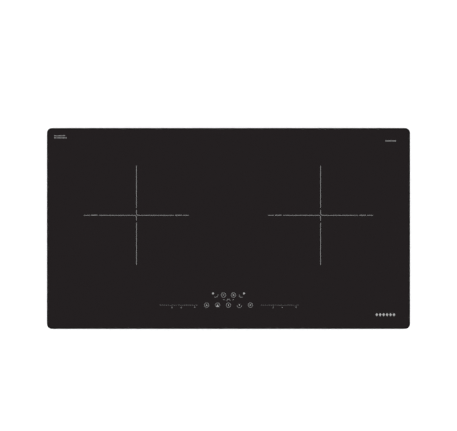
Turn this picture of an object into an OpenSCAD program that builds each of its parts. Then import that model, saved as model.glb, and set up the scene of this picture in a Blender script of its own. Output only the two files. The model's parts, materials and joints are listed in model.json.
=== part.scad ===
// Built-in induction cooktop with two cooking zones.
// Origin: centre of the base. +X right, +Y towards the wall, +Z up. The user stands at -Y.

/* [Glass] */
// Width of the glass plate
glass_w = 730; // [720:2:760]
// Depth of the glass plate
glass_d = 404; // [400:2:420]
// Thickness of the glass plate
glass_t = 4; // [4:1:6]
// Radius of the glass plate's corners
glass_r = 10; // [6:1:14]
// Width of the ground bevel round the top edge
bevel_w = 2.6; // [1:0.2:4]
// Height of the ground bevel
bevel_h = 1; // [0.6:0.2:2]

/* [Housing] */
// Height of the whole cooktop
overall_h = 60; // [60:1:70]
// Width of the sheet-metal tray
tray_w = 680; // [676:2:690]
// Depth of the sheet-metal tray
tray_d = 354; // [350:2:360]
// Thickness of the tray's sheet metal
sheet = 1; // [0.8:0.1:1.2]
// Height of the pressed feet under the tray
pad_h = 4; // [4:0.5:6]

/* [Cooking zones] */
// Distance of each zone's centre from the middle of the glass
zone_x = 185; // [180:1:190]
// Distance of the zones' centres behind the middle of the glass
zone_y = 26.5; // [20:0.5:30]
// Outer radius of the copper winding
winding_r = 98; // [90:1:100]
// Distance from one turn of the winding to the next
winding_pitch = 3.4; // [3.2:0.1:3.8]

/* [Fans] */
// Number of blades on each fan wheel
fan_blades = 30; // [20:1:36]
// Outer radius of the fan wheel
wheel_r = 37; // [35:0.5:38]

/* [Controls] */
// Distance from one touch key to the next
key_pitch = 22; // [20:0.5:24]
// Distance of the front row of keys from the middle of the glass
key_y = 154; // [152:1:156]

/* [Brackets] */
// Thickness of the worktop that the clamping brackets are set to
worktop_t = 30; // [29:1:38]
// Distance of each bracket from the middle of the tray's side
bracket_y = 110; // [100:5:130]

/* [Hidden] */
$fn = 48;

// Heights
glass_z = overall_h - glass_t;
floor_z = pad_h + sheet;
frame_top = glass_z - 1;
frame_sheet = 1.2;
tray_top = frame_top - frame_sheet;
seal_z = glass_z - 2.8;

// Seal, adhesive bead and carrier frame under the glass
seal_inset = 7;
seal_w = 10;
bead_w = 9;
flange_w = 16;
flange_out = 2;
leg_drop = 5;

// Sheet-metal tray
tray_r = 8;
tray_bend_r = 2.5;
foot_xy = [for (x = [-300, -100, 100, 300], y = [-145, 145]) [x, y]];
foot_r = 12;
foot_flare = 3;
bead_h = 1.5;
vent_l = 20;
vent_w = 3.2;
floor_vent_pitch = 8.5;
wall_vent_pitch = 9;
wall_vent_z = 24;
screw_r = 1.6;
screw_hole_r = 1.7;
side_screw_z = 47;
long_wall_screw_x = [-280, -140, 0, 140, 280];
short_wall_screw_y = [-60, 60];
frame_gap = 0.3;

// Cable recess in the rear of the tray
recess_w = 64;
recess_d = 28;
recess_h = 34;
recess_y = tray_d / 2 - recess_d;
gland_z = 18;
gland_bore_r = 5.5;

// Terminal compartment
terminal_y = 112;
terminal_w = 60;
cover_w = 96;
cover_d = 52;
cover_t = 1;
filter_z = 32;
filter_y = 98;
board_t = 1.6;
filter_w = 84;
filter_hole_xy = [for (x = [-37, 37], y = [-37, 37]) [x, y]];

// Coil stack, from the bottom up
plate_z = 40.4;
plate_t = 1.5;
plate_w = 236;
ferrite_t = 4.5;
former_t = 1.5;
ferrite_z = plate_z + plate_t;
former_z = ferrite_z + ferrite_t;
winding_z = former_z + former_t;
wire_r = winding_pitch / 2 + 0.1;
pad_z = winding_z + 2 * wire_r;
lead_x = -108;
lead_y = 14;
lead_r = 1.7;
post_at = 105;
post_xy = [for (x = [-post_at, post_at], y = [-post_at, post_at]) [x, y]];
post_r = 6;
post_pin_r = 2.5;
post_shoulder_z = 30;

// Power electronics, in each zone's own frame
carrier_screw_xy = [for (x = [-130, 25], y = [-75, 75]) [x, y]];
pcb_x = [-143, 38];
pcb_y = [-85, 85];
pcb_z = 11;
pcb_pin_xy = [for (x = [-138, 33], y = [-80, 80]) [x, y]];
mains_plug_x = [22, 36];
mains_plug_y = [58, 76];
mains_wire_y = [92, 97];
mains_wire_z = 26;
heatsink_x = [-100, 25];
heatsink_y = [6, 48];
heatsink_z = pcb_z + board_t;
heatsink_h = 23;

// Fans, in each fan's own frame
fan_x = 90;
fan_size = 90;
fan_r = fan_size / 2 - 3;
fan_h = 28;
fan_wall = 1.5;
fan_inlet_r = 30;
fan_screw_xy = [[39, 39], [39, -39], [-39, -39]];
fan_plug_x = [26, 35];
fan_wire_y = [-13, -10];
fan_wire_r = 0.8;
wheel_z = floor_z + 4;
wheel_h = 20.5;
hub_r = 15;
hub_wall = 1.2;
shaft_r = 1.5;
bearing_gap = 0.05;
motor_r = 12;
bearing_tube_r = 4;

// Touch controls
touch_w = 304;
touch_d = 52;
touch_y = -144;
touch_z = 36;
touch_board_z = touch_z + 4;
touch_leg_xy = [for (x = [-140, 140], y = [-163, -125]) [x, y]];
upper_key_y = key_y - 20;
slider_x = 101.5;
slider_segments = 8;

// Clamping brackets
bracket_w = 24;
bracket_t = 1.6;
bracket_reach = 22;
bracket_leg_h = 23;
bracket_top_z = seal_z - worktop_t;
bracket_screw_z = bracket_top_z + 7.2;
bracket_slot = [5.2, 17.2];
bracket_gap = 0.2;
bracket_screw_r = 2;

// ---------- shared shapes ----------

module rounded_rect(w, d, r) {
    square([w - 2 * r, d], center = true);
    square([w, d - 2 * r], center = true);
    for (x = [-1, 1], y = [-1, 1])
        translate([x * (w / 2 - r), y * (d / 2 - r)]) circle(r);
}

module rounded_ring(w, d, r, band) {
    difference() {
        rounded_rect(w, d, r);
        rounded_rect(w - 2 * band, d - 2 * band, max(r - band, 1));
    }
}

// A slot with round ends, its length along Y
module slot2d(length, width) {
    square([width, length - width], center = true);
    for (y = [-1, 1]) translate([0, y * (length - width) / 2]) circle(d = width);
}

// A box between two X values and two Y values
module span_box(x, y, z, h) {
    translate([x[0], y[0], z]) cube([x[1] - x[0], y[1] - y[0], h]);
}

// A cross-head screw with its seat at z = 0 and its head above
module pan_screw(head_r, head_h, shank_r, shank_l) {
    difference() {
        union() {
            cylinder(h = head_h * 0.6, r = head_r);
            translate([0, 0, head_h * 0.6]) cylinder(h = head_h * 0.4, r1 = head_r, r2 = head_r * 0.72);
        }
        for (a = [0, 90]) rotate([0, 0, a])
            translate([0, 0, head_h]) cube([head_r * 1.1, head_r * 0.24, head_h], center = true);
    }
    translate([0, 0, -shank_l]) cylinder(h = shank_l, r = shank_r);
}

// Places something in a zone's own frame: the right zone's parts are the left zone's, turned half round
module in_zone(side) {
    if (side == "left") translate([-zone_x, zone_y, 0]) children();
    else translate([zone_x, zone_y, 0]) rotate([0, 0, 180]) children();
}

module in_fan(side) {
    in_zone(side) translate([fan_x, 0, 0]) children();
}

// A bent round rod: up from z = 0, round a quarter bend, then out along +X
module elbow(r, bend, up, out) {
    cylinder(h = up, r = r);
    translate([bend, 0, up]) rotate([90, 0, 180]) rotate_extrude(angle = 90) translate([bend, 0]) circle(r);
    translate([bend, 0, up + bend]) rotate([0, 90, 0]) cylinder(h = out, r = r);
}

// Points of a helix's tube wall, ring by ring, and its faces
function helix_rings(coil_r, wire_r, height, turns, steps, sides) =
    let (n = turns * steps)
    [for (i = [0:n], k = [0:sides - 1])
        let (a = 360 * i / steps, b = 360 * k / sides, r = coil_r + wire_r * cos(b))
        [r * cos(a), r * sin(a), wire_r + (height - 2 * wire_r) * i / n + wire_r * sin(b)]];

function tube_faces(rings, sides) = concat(
    [[for (k = [0:sides - 1]) k]],
    [for (i = [0:rings - 2], k = [0:sides - 1])
        let (a = i * sides + k, b = i * sides + (k + 1) % sides) [b, a, a + sides, b + sides]],
    [[for (k = [sides - 1:-1:0]) (rings - 1) * sides + k]]
);

module helix_spring(coil_r, wire_r, height, turns) {
    steps = 14;
    sides = 6;
    polyhedron(helix_rings(coil_r, wire_r, height, turns, steps, sides),
        tube_faces(turns * steps + 1, sides));
}

// ---------- glass, seal and frame ----------

// Rounded plate with a bevel round its top edge
module bevelled_plate(w, d, r, t, bw, bh) {
    linear_extrude(t - bh) rounded_rect(w, d, r);
    translate([0, 0, t - bh]) {
        for (x = [-1, 1], y = [-1, 1])
            translate([x * (w / 2 - r), y * (d / 2 - r), 0]) cylinder(h = bh, r1 = r, r2 = r - bw);
        rotate([90, 0, 90]) linear_extrude(w - 2 * r, center = true)
            polygon([[-d / 2, 0], [d / 2, 0], [d / 2 - bw, bh], [-d / 2 + bw, bh]]);
        rotate([90, 0, 0]) linear_extrude(d - 2 * r, center = true)
            polygon([[-w / 2, 0], [w / 2, 0], [w / 2 - bw, bh], [-w / 2 + bw, bh]]);
    }
}

module glass_top() {
    color([0.14, 0.125, 0.13]) translate([0, 0, glass_z])
        bevelled_plate(glass_w, glass_d, glass_r, glass_t, bevel_w, bevel_h);
}

// Silicone that bonds the frame's flange to the glass
module adhesive_bead() {
    color([0.1, 0.1, 0.1]) translate([0, 0, frame_top]) linear_extrude(glass_z - frame_top)
        rounded_ring(tray_w, tray_d, tray_r, bead_w);
}

// Foam tape that lies between the glass's overhang and the worktop
module worktop_seal() {
    color([0.16, 0.16, 0.17]) translate([0, 0, seal_z]) linear_extrude(glass_z - seal_z)
        rounded_ring(glass_w - 2 * seal_inset, glass_d - 2 * seal_inset, glass_r - 2, seal_w);
}

module carrier_frame() {
    leg_w = tray_w - 2 * sheet - 2 * frame_gap;
    leg_d = tray_d - 2 * sheet - 2 * frame_gap;
    leg_r = tray_r - sheet;
    leg_z = side_screw_z - leg_drop;
    color([0.74, 0.75, 0.76]) difference() {
        union() {
            translate([0, 0, frame_top - frame_sheet]) linear_extrude(frame_sheet)
                rounded_ring(tray_w + 2 * flange_out, tray_d + 2 * flange_out, tray_r + flange_out,
                    flange_w);
            translate([0, 0, leg_z]) linear_extrude(frame_top - frame_sheet - leg_z)
                rounded_ring(leg_w, leg_d, leg_r, frame_sheet);
        }
        side_screw_places() translate([0, 0, -12]) cylinder(h = 14, r = screw_hole_r);
    }
}

// ---------- tray ----------

module side_screw_places() {
    for (x = long_wall_screw_x, s = [-1, 1])
        translate([x, s * tray_d / 2, side_screw_z]) rotate([-s * 90, 0, 0]) children();
    for (y = short_wall_screw_y, s = [-1, 1])
        translate([s * tray_w / 2, y, side_screw_z]) rotate([0, s * 90, 0]) children();
}

module base_screw_places() {
    for (side = ["left", "right"]) {
        in_zone(side) for (p = carrier_screw_xy) translate([p[0], p[1], 0]) children();
        in_fan(side) for (p = fan_screw_xy) translate([p[0], p[1], 0]) children();
    }
    for (p = touch_leg_xy) translate([p[0], p[1], 0]) children();
}

module cover_screw_places() {
    for (x = [-1, 1]) translate([x * (cover_w / 2 - 6), terminal_y - 2, 0]) children();
}

module bracket_screw_places() {
    for (sx = [-1, 1], sy = [-1, 1])
        translate([sx * tray_w / 2, sy * bracket_y, bracket_screw_z]) rotate([0, sx * 90, 0]) children();
}

// Half of a cross-section near the floor: e high, with its lower corner rolled to radius e
module rolled_section(half_w, e) {
    square([half_w - e, e]);
    intersection() {
        square([half_w, e]);
        translate([half_w - e, e]) circle(e);
    }
}

// Block with rounded upright corners of radius r and a lower edge rolled to radius e
module rolled_block(w, d, r, e, h) {
    translate([0, 0, e]) linear_extrude(h - e) rounded_rect(w, d, r);
    for (x = [-1, 1], y = [-1, 1])
        translate([x * (w / 2 - r), y * (d / 2 - r), 0]) rotate_extrude() rolled_section(r, e);
    for (s = [0, 1]) {
        rotate([90, 0, 90]) mirror([s, 0, 0]) linear_extrude(w - 2 * r, center = true)
            rolled_section(d / 2, e);
        rotate([90, 0, 0]) mirror([s, 0, 0]) linear_extrude(d - 2 * r, center = true)
            rolled_section(w / 2, e);
    }
}

module tray_shell() {
    difference() {
        translate([0, 0, pad_h]) rolled_block(tray_w, tray_d, tray_r, tray_bend_r, tray_top - pad_h);
        translate([0, 0, floor_z])
            rolled_block(tray_w - 2 * sheet, tray_d - 2 * sheet, tray_r - sheet, tray_bend_r - sheet,
                tray_top);
    }
}

// Stiffening beads pressed outwards, seen from below; grow widens them for the outer skin
module bead_shapes(grow) {
    for (x = [-1, 1]) {
        translate([x * 200, -140]) rotate([0, 0, 90]) slot2d(120 + grow, 12 + grow);
        translate([x * 200, 148]) rotate([0, 0, 90]) slot2d(120 + grow, 12 + grow);
        translate([x * 328, 30]) slot2d(150 + grow, 8 + grow);
    }
}

// Concentric arc slots under a fan
module fan_grille() {
    difference() {
        for (r = [9, 16, 23]) difference() {
            circle(r + 4.5);
            circle(r);
        }
        for (a = [0:60:120]) rotate([0, 0, a]) square([70, 4], center = true);
        circle(7);
    }
}

module floor_vents() {
    for (sx = [-1, 1], i = [0:13], y = [-104, -78])
        translate([sx * (200 + floor_vent_pitch * i), y]) slot2d(vent_l, vent_w);
    for (sx = [-1, 1], i = [0:6])
        translate([sx * (62 + floor_vent_pitch * i), -104]) slot2d(vent_l, vent_w);
}

module wall_vents() {
    for (s = [-1, 1], i = [0:11])
        translate([s * (200 + wall_vent_pitch * (i - 5.5)), 0, wall_vent_z]) rotate([90, 0, 0])
            linear_extrude(tray_d + 4, center = true) slot2d(vent_l, vent_w);
    for (i = [0:9])
        translate([0, wall_vent_pitch * (i - 4.5), wall_vent_z]) rotate([90, 0, 90])
            linear_extrude(tray_w + 4, center = true) slot2d(vent_l, vent_w);
}

module bottom_tray() {
    cut = 2;
    color([0.72, 0.74, 0.75]) difference() {
        union() {
            tray_shell();
            for (p = foot_xy) translate([p[0], p[1], 0])
                cylinder(h = pad_h, r1 = foot_r, r2 = foot_r + foot_flare);
            translate([0, 0, pad_h - bead_h]) linear_extrude(bead_h) bead_shapes(2);
            translate([0, recess_y + recess_d / 2, pad_h])
                linear_extrude(recess_h - pad_h) square([recess_w, recess_d], center = true);
        }
        for (p = foot_xy) translate([p[0], p[1], sheet])
            cylinder(h = pad_h + 0.01, r1 = foot_r - sheet, r2 = foot_r + foot_flare - sheet);
        translate([0, 0, floor_z - bead_h]) linear_extrude(bead_h + 0.01) bead_shapes(0);
        span_box([-recess_w / 2 + sheet, recess_w / 2 - sheet], [recess_y + sheet, tray_d], -cut,
            recess_h - sheet + cut);
        translate([0, recess_y, gland_z]) rotate([90, 0, 0]) cylinder(h = 8, r = 8, center = true);
        for (side = ["left", "right"]) in_fan(side)
            translate([0, 0, pad_h - cut]) linear_extrude(sheet + 2 * cut) fan_grille();
        translate([0, 0, pad_h - cut]) linear_extrude(sheet + 2 * cut) {
            floor_vents();
            translate([0, terminal_y - 2]) square([cover_w - 24, cover_d - 14], center = true);
        }
        wall_vents();
        side_screw_places() translate([0, 0, -2]) cylinder(h = 4, r = screw_hole_r);
        bracket_screw_places() translate([0, 0, -2]) cylinder(h = 4, r = bracket_screw_r + 0.1);
        base_screw_places() translate([0, 0, pad_h - cut]) cylinder(h = sheet + 2 * cut, r = screw_hole_r);
        cover_screw_places() translate([0, 0, pad_h - cut]) cylinder(h = sheet + 2 * cut, r = screw_hole_r);
    }
}

// Plate over the opening that gives access to the mains terminals
module terminal_cover() {
    color([0.6, 0.62, 0.63]) difference() {
        translate([0, terminal_y - 2, pad_h - cover_t]) linear_extrude(cover_t)
            rounded_rect(cover_w, cover_d, 4);
        cover_screw_places() cylinder(h = pad_h + 1, r = screw_hole_r);
    }
}

// Blank foil label under the tray
module rating_label() {
    color([0.85, 0.85, 0.83]) translate([0, 20, pad_h - 0.3]) linear_extrude(0.3) rounded_rect(70, 44, 2);
}

module side_screws() {
    color([0.8, 0.8, 0.82]) side_screw_places() pan_screw(3.4, 2.2, screw_r, 8);
}

module base_screws() {
    color([0.8, 0.8, 0.82]) {
        base_screw_places() translate([0, 0, pad_h]) rotate([180, 0, 0]) pan_screw(3.4, 2.2, screw_r, 7);
        cover_screw_places() translate([0, 0, pad_h - cover_t]) rotate([180, 0, 0])
            pan_screw(3.4, 2.2, screw_r, 5);
    }
}

// ---------- mains connection ----------

module cable_gland() {
    hex_r = 12;
    color([0.12, 0.12, 0.13]) translate([0, recess_y, gland_z]) rotate([-90, 0, 0]) difference() {
        union() {
            // Locknut inside the tray
            translate([0, 0, -5]) cylinder(h = 5, r = hex_r, $fn = 6);
            // Threaded shank, hexagonal flange and neck
            translate([0, 0, -8]) cylinder(h = 20, r = 7.8);
            translate([0, 0, sheet]) cylinder(h = 5, r = hex_r, $fn = 6);
            // Compression nut with its tapered nose
            translate([0, 0, sheet + 7]) cylinder(h = 8, r = 11, $fn = 6);
            translate([0, 0, sheet + 15]) cylinder(h = 4, r1 = 9.4, r2 = 7.4);
        }
        translate([0, 0, -9]) cylinder(h = 34, r = gland_bore_r);
    }
}

module terminal_block() {
    poles = 5;
    pitch = terminal_w / poles;
    color([0.93, 0.91, 0.84]) translate([0, terminal_y, floor_z + 3]) difference() {
        translate([-terminal_w / 2, -11, 0]) cube([terminal_w, 22, filter_z - floor_z - 3]);
        for (i = [0:poles - 1]) translate([(i - (poles - 1) / 2) * pitch, 0, 0]) {
            translate([0, -5, -1]) cylinder(h = 12, r = 2.6);
            translate([0, 5, -1]) cylinder(h = 12, r = 2.6);
            translate([0, 8, 8]) rotate([-90, 0, 0]) cylinder(h = 8, r = 2.4);
        }
        for (i = [1:poles - 1])
            translate([-terminal_w / 2 + i * pitch, 0, 0]) cube([1, 23, 6], center = true);
    }
}

module filter_board() {
    color([0.1, 0.36, 0.2]) translate([0, filter_y, filter_z]) difference() {
        translate([-filter_w / 2, -filter_w / 2, 0]) cube([filter_w, filter_w, board_t]);
        for (p = filter_hole_xy) translate([p[0], p[1], -1]) cylinder(h = 4, r = screw_hole_r);
    }
}

module filter_standoffs() {
    color([0.9, 0.9, 0.86]) for (p = filter_hole_xy) translate([p[0], filter_y + p[1], 0]) {
        translate([0, 0, floor_z]) cylinder(h = filter_z - floor_z, r = 3.5);
        translate([0, 0, filter_z]) cylinder(h = board_t + 2.5, r = 1.6);
    }
}

// Ring core with two windings of thick enamelled wire
module filter_choke() {
    ring_r = 15;
    loop_r = 7.6;
    choke_wire_r = 0.9;
    color([0.72, 0.38, 0.16])
        translate([17, filter_y + 4, filter_z + board_t + loop_r + choke_wire_r]) {
            rotate_extrude() translate([ring_r, 0]) square([9, 11], center = true);
            for (s = [-1, 1], i = [-3:3])
                rotate([0, 0, 90 + 90 * s + i * 18]) translate([ring_r, 0, 0]) rotate([90, 0, 0])
                    rotate_extrude() translate([loop_r, 0]) circle(choke_wire_r);
        }
}

module filter_capacitors() {
    top = filter_z + board_t;
    color([0.86, 0.72, 0.2]) {
        translate([-40, filter_y - 10, top]) cube([14, 32, 18]);
        translate([-24, filter_y + 8, top]) cube([10, 26, 14]);
        for (x = [-32, -18]) translate([x, filter_y - 27, top]) cylinder(h = 16, r = 6);
        translate([12, filter_y - 34, top]) cube([20, 8, 10]);
    }
}

// Flat cable from the touch board back to the filter board, folded down at its end
module ribbon_cable() {
    cable_t = 1;
    start_y = touch_y + touch_d / 2 - 4;
    end_y = filter_y - 30;
    run_z = touch_board_z + board_t + 5;
    color([0.55, 0.57, 0.6]) rotate([90, 0, 90]) linear_extrude(20, center = true) polygon([
        [start_y, run_z - 5], [start_y, run_z + cable_t], [end_y, run_z + cable_t],
        [end_y, filter_z + board_t], [end_y - cable_t, filter_z + board_t], [end_y - cable_t, run_z],
        [start_y + cable_t, run_z], [start_y + cable_t, run_z - 5]
    ]);
}

// ---------- touch controls ----------

module touch_carrier() {
    color([0.13, 0.13, 0.14]) difference() {
        union() {
            translate([0, touch_y, touch_z]) difference() {
                linear_extrude(7) rounded_rect(touch_w, touch_d, 3);
                translate([0, 0, 1.6]) linear_extrude(7) rounded_rect(touch_w - 3.2, touch_d - 3.2, 2);
            }
            for (p = touch_leg_xy)
                translate([p[0], p[1], floor_z]) cylinder(h = touch_z - floor_z, r = 4.5);
            for (x = [-120:40:120])
                translate([x, touch_y, touch_z]) cylinder(h = touch_board_z - touch_z, r = 3);
        }
        for (p = touch_leg_xy) translate([p[0], p[1], floor_z - 1]) cylinder(h = 9, r = screw_hole_r);
    }
}

module touch_board() {
    color([0.1, 0.36, 0.2]) translate([0, touch_y, touch_board_z]) linear_extrude(board_t)
        rounded_rect(touch_w - 5, touch_d - 5, 2);
}

// Conductive foam columns that carry the touch from the glass to the board
module touch_pads() {
    base = touch_board_z + board_t;
    color([0.2, 0.2, 0.21]) {
        for (i = [-2:2]) translate([i * key_pitch, -key_y, base]) cylinder(h = glass_z - base, r = 5);
        for (x = [-28, -10, 10, 28]) translate([x, -upper_key_y, base]) cylinder(h = glass_z - base, r = 4);
        for (s = [-1, 1], i = [0:slider_segments - 1])
            translate([s * slider_x + 9 * (i - (slider_segments - 1) / 2), -key_y, (base + glass_z) / 2])
                cube([7.5, 10, glass_z - base], center = true);
    }
}

module digit_displays() {
    base = touch_board_z + board_t;
    color([0.16, 0.04, 0.04]) for (s = [-1, 1]) translate([s * 62, -upper_key_y, base]) {
        translate([-12.5, -7, 0]) cube([25, 14, glass_z - base - 2]);
        for (d = [-1, 1]) translate([d * 6, 0, glass_z - base - 2]) digit(4.4, 8.8, 0.8);
    }
}

// Seven raised light segments of one digit
module digit(w, h, stroke) {
    gap = 0.4;
    linear_extrude(0.4) {
        for (y = [-1, 0, 1]) translate([0, y * h / 2]) square([w - stroke - gap, stroke], center = true);
        for (x = [-1, 1], y = [-1, 1])
            translate([x * w / 2, y * h / 4]) square([stroke, h / 2 - stroke - gap], center = true);
    }
}

// ---------- coil stack ----------

// Ceramic-fibre pad, pressed against the glass by the coil below it
module insulation_pad(side) {
    color([0.93, 0.92, 0.88]) in_zone(side) translate([0, 0, pad_z])
        linear_extrude(glass_z - pad_z) difference() {
            circle(winding_r + 7);
            circle(10);
        }
}

// Flat spiral of stranded copper, as one ridged disc
module coil_winding(side) {
    turns = floor((winding_r - 28) / winding_pitch);
    color([0.72, 0.4, 0.22]) in_zone(side) translate([0, 0, winding_z + wire_r]) rotate_extrude($fn = 96) {
        for (i = [0:turns - 1]) translate([winding_r - wire_r - i * winding_pitch, 0]) circle(wire_r);
    }
}

// Plastic disc that carries the winding between its rim and its hub
module coil_former(side) {
    rim = winding_r + 4;
    wall_h = pad_z - former_z;
    color([0.15, 0.15, 0.16]) in_zone(side) translate([0, 0, former_z]) difference() {
        union() {
            cylinder(h = former_t, r = rim);
            difference() {
                cylinder(h = wall_h, r = rim);
                translate([0, 0, -1]) cylinder(h = wall_h + 2, r = rim - 2.4);
            }
            difference() {
                cylinder(h = wall_h, r = 25);
                translate([0, 0, -1]) cylinder(h = wall_h + 2, r = 22);
            }
        }
        // Seat of the sensor
        translate([0, 0, -1]) cylinder(h = former_t + 2, r = 5.1);
        for (a = [22.5:45:360]) rotate([0, 0, a]) translate([62, 0, -1]) rotate([0, 0, 90])
            linear_extrude(former_t + 2) slot2d(56, 12);
        // Notches for the leads
        for (y = [-lead_y, lead_y]) translate([-rim - 1, y - 2.2, former_t]) cube([6, 4.4, wall_h]);
    }
}

module ferrite_bars(side) {
    color([0.25, 0.25, 0.27]) in_zone(side) for (a = [0:45:315])
        rotate([0, 0, a]) translate([32, -7, ferrite_z]) cube([60, 14, ferrite_t]);
}

module coil_plate(side) {
    color([0.8, 0.81, 0.82]) in_zone(side) translate([0, 0, plate_z]) difference() {
        linear_extrude(plate_t) rounded_rect(plate_w, plate_w, 8);
        for (p = post_xy) translate([p[0], p[1], -1]) cylinder(h = 4, r = post_pin_r + 0.5);
        for (y = [-lead_y, lead_y]) translate([lead_x, y, -1]) cylinder(h = 4, r = 4);
        translate([0, 0, -1]) cylinder(h = 4, r = 14);
    }
}

// Rubber-tipped sensor in the middle of each coil, with its two wires down to the board
module temperature_sensors() {
    color([0.75, 0.2, 0.12]) for (side = ["left", "right"]) in_zone(side) {
        translate([0, 0, winding_z + 2]) cylinder(h = glass_z - winding_z - 2, r = 7);
        translate([0, 0, winding_z]) cylinder(h = 2, r = 9);
        translate([0, 0, plate_z - 4]) cylinder(h = winding_z - plate_z + 4, r = 5);
        for (x = [-2, 2]) translate([x, -2, pcb_z + board_t])
            cylinder(h = plate_z - 4 - pcb_z - board_t, r = 0.9);
    }
}

module coil_springs() {
    color([0.82, 0.82, 0.84]) for (side = ["left", "right"]) in_zone(side) for (p = post_xy)
        translate([p[0], p[1], post_shoulder_z]) helix_spring(4.2, 0.5, plate_z - post_shoulder_z, 4);
}

// Two sleeved leads from the winding down to the power board
module coil_leads() {
    bend = 5;
    lead_z = winding_z + wire_r;
    color([0.9, 0.88, 0.82]) for (side = ["left", "right"]) in_zone(side) for (y = [-lead_y, lead_y])
        translate([lead_x, y, pcb_z + board_t]) elbow(lead_r, bend, lead_z - bend - pcb_z - board_t, 5.6);
}

// In a zone's frame, where the fan housing's round wall stands at that distance from its middle line
function fan_wall_x(y) = fan_x - sqrt(fan_r * fan_r - y * y);

// Mains wires from the filter board to the power boards, and the two wires of each fan
module mains_wires() {
    bend = 4;
    run_x = zone_x - mains_plug_x[1];
    color([0.45, 0.3, 0.2]) {
        for (s = [-1, 1], y = mains_wire_y)
            translate([s * 36, y, filter_z]) rotate([0, 0, s > 0 ? 0 : 180]) mirror([0, 0, 1])
                elbow(1.4, bend, filter_z - mains_wire_z - bend, run_x - 36 - bend);
        for (side = ["left", "right"]) in_zone(side) for (y = fan_wire_y)
            translate([fan_plug_x[1], y, pcb_z + board_t + 3]) rotate([0, 90, 0])
                cylinder(h = fan_wall_x(y + fan_wire_r) - fan_plug_x[1], r = fan_wire_r);
    }
}

// ---------- power electronics ----------

module board_carrier(side) {
    carrier_t = 2;
    rim_h = 6;
    edge = 2;
    bar_y = 98;
    bar_w = 28;
    color([0.2, 0.21, 0.22]) in_zone(side) difference() {
        union() {
            span_box([pcb_x[0] - edge, pcb_x[1] + edge], [pcb_y[0] - edge, pcb_y[1] + edge],
                floor_z, carrier_t);
            for (x = [pcb_x[0] - edge, pcb_x[1]])
                span_box([x, x + edge], [pcb_y[0] - edge, pcb_y[1] + edge], floor_z, rim_h);
            for (p = carrier_screw_xy)
                translate([p[0], p[1], floor_z]) cylinder(h = pcb_z - floor_z, r = 4);
            for (p = pcb_pin_xy) translate([p[0], p[1], floor_z]) {
                cylinder(h = pcb_z - floor_z, r = 3);
                cylinder(h = pcb_z + board_t + 2 - floor_z, r = 1.5);
            }
            for (p = post_xy) translate([p[0], p[1], floor_z]) {
                cylinder(h = post_shoulder_z - floor_z, r = post_r);
                cylinder(h = plate_z + 3 - floor_z, r = post_pin_r);
            }
            for (s = [-1, 1])
                span_box([-post_r - post_at, post_at + post_r],
                    [s * bar_y - bar_w / 2, s * bar_y + bar_w / 2], floor_z, carrier_t);
        }
        for (p = carrier_screw_xy) translate([p[0], p[1], floor_z - 1]) cylinder(h = 8, r = screw_hole_r);
        // Openings under the board, to let air and weight out
        for (x = [-100, -55, -10]) span_box([x - 16, x + 16], [-60, 60], floor_z - 1, 4);
    }
}

module power_board(side) {
    top = pcb_z + board_t;
    color([0.1, 0.36, 0.2]) in_zone(side) {
        difference() {
            span_box(pcb_x, pcb_y, pcb_z, board_t);
            for (p = pcb_pin_xy) translate([p[0], p[1], pcb_z - 1]) cylinder(h = 4, r = 1.6);
        }
        // Relay, small transformer and plug-in connectors
        span_box([-4, 16], [-70, -54], top, 16);
        span_box([-32, -10], [-76, -54], top, 20);
        for (i = [0:2]) span_box([-136, -128], [-60 + 18 * i, -46 + 18 * i], top, 9);
        for (s = [-1, 1])
            span_box(mains_plug_x, s > 0 ? mains_plug_y : [-mains_plug_y[1], -mains_plug_y[0]], top, 17);
        span_box(fan_plug_x, [-16, -7], top, 6);
    }
}

module heatsink(side) {
    fins = 8;
    depth = heatsink_y[1] - heatsink_y[0];
    fin_pitch = (depth - 2) / (fins - 1);
    color([0.82, 0.83, 0.84]) in_zone(side) translate([heatsink_x[0], heatsink_y[0], heatsink_z])
        rotate([90, 0, 90]) linear_extrude(heatsink_x[1] - heatsink_x[0]) {
            square([depth, 4]);
            for (i = [0:fins - 1]) translate([i * fin_pitch, 3]) square([2, heatsink_h - 3]);
        }
}

// Two transistors and the bridge rectifier, held against the heatsink's side
module power_transistors(side) {
    color([0.08, 0.08, 0.09]) in_zone(side) for (d = [[-82, 16], [-54, 16], [-20, 30]])
        translate([d[0], heatsink_y[0], heatsink_z]) {
            translate([-d[1] / 2, -5, 3]) cube([d[1], 5, 18]);
            for (i = [-1:1]) translate([i * d[1] / 3 - 0.6, -3, 0]) cube([1.2, 0.8, 3]);
        }
}

module resonance_capacitors(side) {
    top = pcb_z + board_t;
    color([0.9, 0.75, 0.2]) in_zone(side) {
        for (i = [0:2]) span_box([-112 + 26 * i, -92 + 26 * i], [-50, -16], top, 22);
        for (i = [0:1]) translate([-100 + 22 * i, 66, top]) cylinder(h = 22, r = 8);
        span_box([-50, -20], [58, 74], top, 18);
    }
}

// ---------- fans ----------

module fan_outline(grow) {
    circle(fan_r + grow);
    translate([-fan_size / 2, 4 - grow]) square([fan_size / 2, 38 + 2 * grow]);
}

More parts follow.
